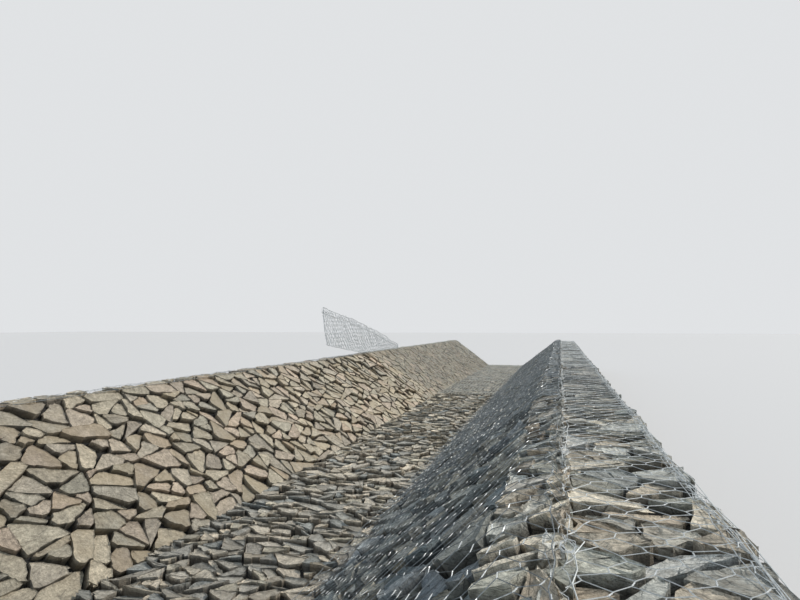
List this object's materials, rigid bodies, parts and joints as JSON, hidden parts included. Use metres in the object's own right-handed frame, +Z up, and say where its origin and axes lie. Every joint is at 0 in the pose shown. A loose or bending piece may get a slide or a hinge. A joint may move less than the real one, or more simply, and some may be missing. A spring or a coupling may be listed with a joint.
{
  "type": "gabion channel wall section",
  "caption": "Stone-filled wire-basket retaining wall with walkable crest, raised rim and sloping face, running on in bays with the stone bed and opposite bank its netting lid ties into.",
  "frame": {"origin": "centre of the base, on the ground", "axes": "+X across the channel towards the tall wall's back, +Y along the channel, +Z up"},
  "size_m": [7.4, 36, 3.207],
  "materials": {
    "crest_stone": "rough split stone",
    "slope_stone": "rough split stone",
    "bed_stone": "rough split stone",
    "bank_stone": "rough split stone",
    "galvanised_wire": "galvanised wire"
  },
  "bodies": {
    "root": {"wall_fill_1": "crest_stone", "slope_fill_1": "slope_stone", "bed_fill_1": "bed_stone", "bank_fill_1": "bank_stone", "wall_basket_1": "galvanised_wire", "slope_basket_1": "galvanised_wire", "bank_basket_1": "galvanised_wire", "wall_fill_2": "crest_stone", "slope_fill_2": "slope_stone", "bed_fill_2": "bed_stone", "bank_fill_2": "bank_stone", "wall_basket_2": "galvanised_wire", "slope_basket_2": "galvanised_wire", "bank_basket_2": "galvanised_wire", "wall_fill_3": "crest_stone", "slope_fill_3": "slope_stone", "bed_fill_3": "bed_stone", "bank_fill_3": "bank_stone", "wall_basket_3": "galvanised_wire", "slope_basket_3": "galvanised_wire", "bank_basket_3": "galvanised_wire", "wall_fill_4": "crest_stone", "slope_fill_4": "slope_stone", "bed_fill_4": "bed_stone", "bank_fill_4": "bank_stone", "wall_basket_4": "galvanised_wire", "slope_basket_4": "galvanised_wire", "bank_basket_4": "galvanised_wire", "wall_fill_5": "crest_stone", "slope_fill_5": "slope_stone", "bed_fill_5": "bed_stone", "bank_fill_5": "bank_stone", "wall_basket_5": "galvanised_wire", "slope_basket_5": "galvanised_wire", "bank_basket_5": "galvanised_wire", "wall_fill_6": "crest_stone", "slope_fill_6": "slope_stone", "bed_fill_6": "bed_stone", "bank_fill_6": "bank_stone", "wall_basket_6": "galvanised_wire", "slope_basket_6": "galvanised_wire", "bank_basket_6": "galvanised_wire", "raised_flap_near": "galvanised_wire", "raised_flap_far": "galvanised_wire"}
  },
  "joints": []
}
